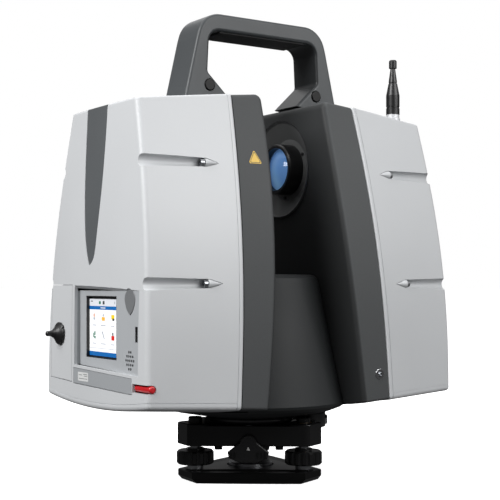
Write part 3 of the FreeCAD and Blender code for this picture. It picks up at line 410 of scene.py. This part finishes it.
def add_patch(bm, outline, lift, thickness, place, index=0):
    """A thin plate from a flat outline of (u, v), laid by place(u, v) -> (point, outward)."""
    top, low = [], []
    for u, v in outline:
        point, outward = place(u, v)
        top.append(bm.verts.new(point + outward * (lift + thickness)))
        low.append(bm.verts.new(point + outward * lift))
    faces = [bm.faces.new(top), bm.faces.new(list(reversed(low)))]
    count = len(outline)
    for i in range(count):
        faces.append(bm.faces.new([low[i], low[(i + 1) % count], top[(i + 1) % count], top[i]]))
    for face in faces:
        face.material_index = index


def rounded_box(u0, u1, v0, v1, radius, steps=4):
    outline = []
    for cu, cv, start in ((u1 - radius, v1 - radius, 0), (u0 + radius, v1 - radius, 90),
                          (u0 + radius, v0 + radius, 180), (u1 - radius, v0 + radius, 270)):
        for step in range(steps + 1):
            turn = math.radians(start + 90 * step / steps)
            outline.append((cu + radius * math.cos(turn), cv + radius * math.sin(turn)))
    return outline


def disc(cu, cv, radius, steps=20):
    turns = [2 * math.pi * i / steps for i in range(steps)]
    return [(cu + radius * math.cos(turn), cv + radius * math.sin(turn)) for turn in turns]


def tube(bm, start, axis, outer, inner, length, steps=28):
    """An open ring of wall between two radii, closed at both ends."""
    axis = axis.normalized()
    side = axis.orthogonal().normalized()
    up = axis.cross(side)
    rings = []
    for along, radius in ((0, outer), (length, outer), (length, inner), (0, inner)):
        ring = []
        for i in range(steps):
            turn = 2 * math.pi * i / steps
            spot = start + axis * along + (side * math.cos(turn) + up * math.sin(turn)) * radius
            ring.append(bm.verts.new(spot))
        rings.append(ring)
    for a, b in zip(rings, rings[1:] + rings[:1]):
        for i in range(steps):
            bm.faces.new([a[i], a[(i + 1) % steps], b[(i + 1) % steps], b[i]])


def taper(bm, axis, rings, steps=24):
    """A round form through (centre, radius in millimetres) rings, closed at both ends."""
    side = axis.orthogonal().normalized()
    up = axis.cross(side)
    loops = []
    for centre, radius in rings:
        loop = []
        for i in range(steps):
            turn = 2 * math.pi * i / steps
            reach = (side * math.cos(turn) + up * math.sin(turn)) * radius * MM
            loop.append(bm.verts.new(centre + reach))
        loops.append(loop)
    for a, b in zip(loops, loops[1:]):
        for i in range(steps):
            bm.faces.new([a[i], a[(i + 1) % steps], b[(i + 1) % steps], b[i]])
    bm.faces.new(loops[0])
    bm.faces.new(loops[-1])


# ---------------------------------------------------------------- control panel pieces

PANEL_FRONT, PANEL_REAR = -89.0, 38.0
FLOOR_FRONT_X, FLOOR_REAR_X = -176.9, -172.8
GLASS_DEPTH = 3.0
SPEAKER_Y, SPEAKER_Z, SPEAKER_PITCH = -69.8, 127.6, 3.8
SCREEN_Y, SCREEN_Z = (22.4, -36.0), (181.9, 128.2)
OUT = Vector((-1, 0, 0))


def floor_point(y, z, deep):
    share = (y - PANEL_FRONT) / (PANEL_REAR - PANEL_FRONT)
    x = FLOOR_FRONT_X + share * (FLOOR_REAR_X - FLOOR_FRONT_X) + deep
    return Vector((x, y, z)) * MM


def screen_place(u, v):
    """u runs 0 to 1 from the rear edge to the front edge of the picture, v from its top down."""
    y = SCREEN_Y[0] + (SCREEN_Y[1] - SCREEN_Y[0]) * u
    z = SCREEN_Z[0] + (SCREEN_Z[1] - SCREEN_Z[0]) * v
    return floor_point(y, z, GLASS_DEPTH), OUT


SCREEN_COLOURS = [
    ("screen_white", (246, 247, 248)), ("screen_status", (214, 216, 222)), ("screen_blue", (22, 98, 168)),
    ("screen_dark", (60, 62, 66)), ("screen_orange", (240, 178, 70)), ("screen_yellow", (232, 200, 40)),
    ("screen_peach", (222, 178, 160)), ("screen_green", (30, 110, 84)), ("screen_red", (206, 44, 40)),
    ("screen_mist", (178, 182, 190)),
]


def screen_shapes():
    """(outline, layer, colour index) for each flat shape of a made-up six-tile menu."""
    white, status, blue, dark, orange, yellow, peach, green, red, mist = range(10)
    box = rounded_box
    shapes = [
        (box(0, 1, 0.0, 1.0, 0.004), 0, white), (box(0, 1, 0.0, 0.125, 0.003), 1, status),
        (box(0, 1, 0.125, 0.188, 0.003), 1, blue), (box(0, 1, 0.86, 0.868, 0.003), 1, mist),
        (box(0, 1, 0.925, 1.0, 0.003), 1, blue), (box(0.42, 0.60, 0.148, 0.165, 0.006), 2, status),
        (box(0.05, 0.13, 0.035, 0.05, 0.004), 2, dark), (box(0.36, 0.43, 0.04, 0.09, 0.008), 2, green),
        (box(0.50, 0.57, 0.035, 0.095, 0.01), 2, dark), (box(0.92, 0.96, 0.04, 0.085, 0.008), 2, mist),
        (disc(0.18, 0.29, 0.035), 1, peach), (box(0.145, 0.215, 0.325, 0.37, 0.012), 1, mist),
        (box(0.46, 0.58, 0.315, 0.38, 0.012), 1, orange), (disc(0.52, 0.285, 0.026), 1, mist),
        (box(0.82, 0.93, 0.27, 0.35, 0.01), 1, yellow), (box(0.86, 0.93, 0.33, 0.372, 0.008), 2, dark),
        (box(0.14, 0.175, 0.60, 0.68, 0.01), 1, green), (box(0.185, 0.225, 0.57, 0.64, 0.01), 1, green),
        (box(0.18, 0.23, 0.655, 0.70, 0.01), 1, green),
        ([(0.47, 0.58), (0.50, 0.57), (0.575, 0.69), (0.545, 0.705)], 1, mist),
        (disc(0.485, 0.585, 0.022), 1, mist), (box(0.82, 0.93, 0.63, 0.71, 0.012), 1, red),
        (box(0.855, 0.895, 0.575, 0.63, 0.008), 1, dark),
    ]
    for row in (0.455, 0.775):
        for column, half in ((0.18, 0.07), (0.52, 0.09), (0.87, 0.06)):
            shapes.append((box(column - half, column + half, row, row + 0.016, 0.006), 1, mist))
    return shapes


def make_screen():
    materials = [glow_material(name, srgb(*colour), 0.35) for name, colour in SCREEN_COLOURS]
    bm = bmesh.new()
    for outline, layer, colour in screen_shapes():
        add_patch(bm, outline, (0.02 + 0.03 * layer) * MM, 0.02 * MM, screen_place, colour)
    make_piece("display_picture", bm, "alidade", materials)


def make_sensor():
    bm = bmesh.new()

    def place(y, z):
        return floor_point(y, z, 1.4), OUT
    add_patch(bm, rounded_box(-85.0, -80.2, 144.3, 158.1, 0.8), 0.05 * MM, 0.7 * MM, place)
    soften(make_piece("sensor_window", bm, "alidade", [MATERIALS["display_glass"]]),
           0.25 * MM)


def make_panel_seal():
    """A soft grey strip that closes the joint between the panel's rear edge and its recess."""
    bm = bmesh.new()

    def place(x, z):
        return Vector((x, PANEL_REAR + 0.5, z)) * MM, Vector((0, -1, 0))
    add_patch(bm, rounded_box(FLOOR_REAR_X - 4.0, FLOOR_REAR_X + 0.6, 118.6, 189.6, 0.4), 0.0, 0.4 * MM,
              place)
    make_piece("panel_seal", bm, "alidade", [MATERIALS["cover_grey"]])


def make_speaker_hole_shade():
    """Painted shade: dark discs over the rows of speaker openings, where the holes are in shadow, fewer
    in the first and the last row.
    """
    bm = bmesh.new()

    def place(y, z):
        return floor_point(y, z, 0.0), OUT
    for row, count in enumerate((2, 4, 5, 4, 2)):
        z = SPEAKER_Z + (2 - row) * SPEAKER_PITCH
        for column in range(count):
            y = SPEAKER_Y + (column - (count - 1) / 2) * SPEAKER_PITCH
            add_patch(bm, disc(y, z, 1.25, 16), 0.03 * MM, 0.03 * MM, place)
    make_piece("speaker_hole_shade", bm, "alidade", [MATERIALS["black_plastic"]])


def make_label():
    """A plain rating plate with a blank field and rule lines on the port cover."""
    cover = surface_tree("port_cover")

    def place(y, z):
        hit = drop(cover, Vector((-200, y, z)) * MM, (1, 0, 0))
        return hit, OUT
    plate = finish_material("label_plate", srgb(214, 215, 214), 0.5, grain=1400, bump=0.05, spread=0.02)
    ink = finish_material("label_rule", srgb(126, 128, 130), 0.6, grain=1400, bump=0.05, spread=0.1)
    bm = bmesh.new()
    add_patch(bm, rounded_box(7.5, 29.5, 103.6, 112.0, 0.8), 0.0, 0.12 * MM, place, 0)
    for y0, y1, z in ((9.5, 18.0, 109.9), (9.5, 16.5, 108.2), (20.5, 28.0, 109.0), (9.5, 27.5, 105.6)):
        add_patch(bm, rounded_box(y0, y1, z, z + 0.6, 0.25), 0.1 * MM, 0.06 * MM, place, 1)
    make_piece("port_label", bm, "port_cover", [plate, ink])


MARKER_X, MARKER_Z = -55.7, 312.6
MARKER_CORNERS, CORNER_LEAN, CORNER_CUT = (90, 210, 330), 7, 0.96


def make_marker():
    """A blank yellow triangle, stuck on the left-hand dark strip."""
    strip = surface_tree("left_inner_cover")

    def place(x, z):
        hit = drop(strip, Vector((x, -200, z)) * MM, (0, 1, 0))
        return hit, Vector((0, -1, 0.12)).normalized()
    yellow = finish_material("marker_yellow", srgb(226, 184, 44), 0.4, grain=1400, bump=0.05, spread=0.05)
    edge = finish_material("marker_edge", srgb(60, 56, 34), 0.5, grain=1400, bump=0.05, spread=0.1)
    bm = bmesh.new()
    for reach, lift, index in ((7.6, 0.0, 0), (6.5, 0.05, 1), (5.6, 0.1, 0)):
        outline = []
        for corner in MARKER_CORNERS:
            for lean in (-CORNER_LEAN, 0, CORNER_LEAN):
                turn = math.radians(corner + lean)
                size = reach * (1.0 if lean == 0 else CORNER_CUT)
                outline.append((MARKER_X + size * math.cos(turn), MARKER_Z + size * math.sin(turn)))
        add_patch(bm, outline, lift * MM, 0.06 * MM, place, index)
    make_piece("strip_marker", bm, "alidade", [yellow, edge])


# ---------------------------------------------------------------- screws, lens and lever pieces

HEAD_LENGTH, HEAD_COVERED = 6.4, 2.6
TAIL_LENGTH, TAIL_RISE = 10.8, 2.0
HOOD_R, HOOD_MOUTH_R, HOOD_BORE_R, HOOD_TIP_R = 4.0, 4.1, 3.6, 0.3
GROOVE_SPLIT_Z = 0.25
LENS_SCREW_CIRCLE_R, LENS_SCREW_X = 29.2, 47.9
RETAINER_R, RETAINER_BORE_R = 24.2, 23.4
LEVER_AZIMUTH, LEVER_FACE, LEVER_HEIGHT = 234.0, 59.0, 40.0
RIB_PLACES, RIB_HALF, RIB_SPAN = (-16.5, -13.0, 9.5, 13.0, 16.5), 0.8, (-13.6, -7.4)
INBOARD = Vector((-1, 0, 0))


def screw_groups():
    """The vertices of each housing screw, told apart by the octant they lie in."""
    groups = {}
    for vertex in NODES["shell_screws"].data.vertices:
        co = vertex.co
        key = (co.x > 0, co.y > 0, co.z > GROOVE_SPLIT_Z)
        groups.setdefault(key, []).append(co.copy())
    return groups


def ring_centre(points, edge):
    near = [point for point in points if abs(point.x - edge.x) < 0.6 * MM]
    return sum(near, Vector()) / len(near)


def make_screw_hoods():
    """Pointed white hoods over the inner ends of the screw heads, running out along the panels."""
    bm = bmesh.new()
    for (right, back, _), points in sorted(screw_groups().items()):
        sign = 1 if right else -1
        points.sort(key=lambda co: co.x * sign)
        inner, outer = ring_centre(points, points[0]), ring_centre(points, points[-1])
        axis = (outer - inner).normalized()
        panel = Vector((0, 1 if back else -1, 0))
        seat = outer - axis * HEAD_LENGTH * MM
        tip = seat - axis * TAIL_LENGTH * MM + panel * TAIL_RISE * MM
        mouth = seat + axis * HEAD_COVERED * MM
        taper(bm, axis, [(tip, HOOD_TIP_R), (seat, HOOD_R), (mouth, HOOD_MOUTH_R), (mouth, HOOD_BORE_R),
                         (seat, HOOD_BORE_R)])
    make_piece("screw_hoods", bm, "alidade", [MATERIALS["white_shell"]])


def make_lens_parts():
    lens_low, lens_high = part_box("lens")
    centre = (lens_low + lens_high) / 2
    dish_low, dish_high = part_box("lens_dish")
    dish_r = (dish_high.z - dish_low.z) / 2
    bm = bmesh.new()
    rim = Vector((dish_low.x + 0.5 * MM, centre.y, centre.z))
    tube(bm, rim, INBOARD, dish_r - 0.05 * MM, dish_r - 0.8 * MM, 0.6 * MM, 96)
    make_piece("dish_rim", bm, "alidade", [MATERIALS["steel_dark"]])
    bm = bmesh.new()
    for turn_degrees in (258, 30, 150):
        turn = math.radians(turn_degrees)
        reach = LENS_SCREW_CIRCLE_R * MM
        y, z = centre.y - reach * math.cos(turn), centre.z + reach * math.sin(turn)
        spot = Vector((LENS_SCREW_X * MM, y, z))
        tube(bm, spot, INBOARD, 1.7 * MM, 0.7 * MM, 0.9 * MM, 20)
        tube(bm, spot, INBOARD, 0.75 * MM, 0.02 * MM, 0.4 * MM, 12)
    make_piece("lens_screws", bm, "alidade", [MATERIALS["black_plastic"]])
    bm = bmesh.new()
    barrel_low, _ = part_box("lens_barrel")
    seat = Vector((barrel_low.x + 0.35 * MM, centre.y, centre.z))
    tube(bm, seat, INBOARD, RETAINER_R * MM, RETAINER_BORE_R * MM, 0.5 * MM, 64)
    make_piece("lens_retainer", bm, "alidade", [MATERIALS["steel_dark"]])


def lever_frame():
    turn = math.radians(LEVER_AZIMUTH)
    out = Vector((math.cos(turn), math.sin(turn), 0))
    side = Vector((-math.sin(turn), math.cos(turn), 0))
    return out, side, out * LEVER_FACE * MM + Vector((0, 0, LEVER_HEIGHT * MM))


def make_lever_details():
    """Grip ribs and a blank pointer on the clamp lever's outer face."""
    out, side, base = lever_frame()

    def place(u, v):
        return base + side * u * MM + Vector((0, 0, v * MM)), out
    bm = bmesh.new()
    for u in RIB_PLACES:
        rib = rounded_box(u - RIB_HALF, u + RIB_HALF, *RIB_SPAN, 0.7)
        add_patch(bm, rib, -0.1 * MM, 0.8 * MM, place, 0)
    add_patch(bm, [(-1.8, -6.0), (1.8, -6.0), (0, -2.6)], -0.05 * MM, 0.2 * MM, place, 1)
    piece = make_piece("lever_grip", bm, "clamp_lever",
                       [MATERIALS["tribrach_black"], MATERIALS["mark_pale"]])
    soften(piece, 0.2 * MM)


def make_floor():
    bm = bmesh.new()
    reach = 40.0
    bm.faces.new([bm.verts.new((x, y, -0.0002)) for x, y in
                  ((-reach, -reach), (reach, -reach), (reach, reach), (-reach, reach))])
    mesh = bpy.data.meshes.new("floor")
    bm.to_mesh(mesh)
    bm.free()
    pale = finish_material("floor_pale", srgb(246, 246, 246), 0.75, grain=60.0, patch=0.8, bump=0.02,
                           spread=0.004)
    shader = pale.node_tree.nodes["Principled BSDF"]
    shader.inputs["Emission Color"].default_value = (1, 1, 1, 1)
    shader.inputs["Emission Strength"].default_value = 0.8
    mesh.materials.append(pale)
    floor = bpy.data.objects.new("floor", mesh)
    floor.visible_diffuse = False
    floor.visible_glossy = False
    SCENE.collection.objects.link(floor)


make_camera()
make_studio()
dress_nodes()
make_screen()
make_sensor()
make_panel_seal()
make_speaker_hole_shade()
make_label()
make_marker()
make_screw_hoods()
make_lens_parts()
make_lever_details()
make_floor()

bpy.context.view_layer.update()
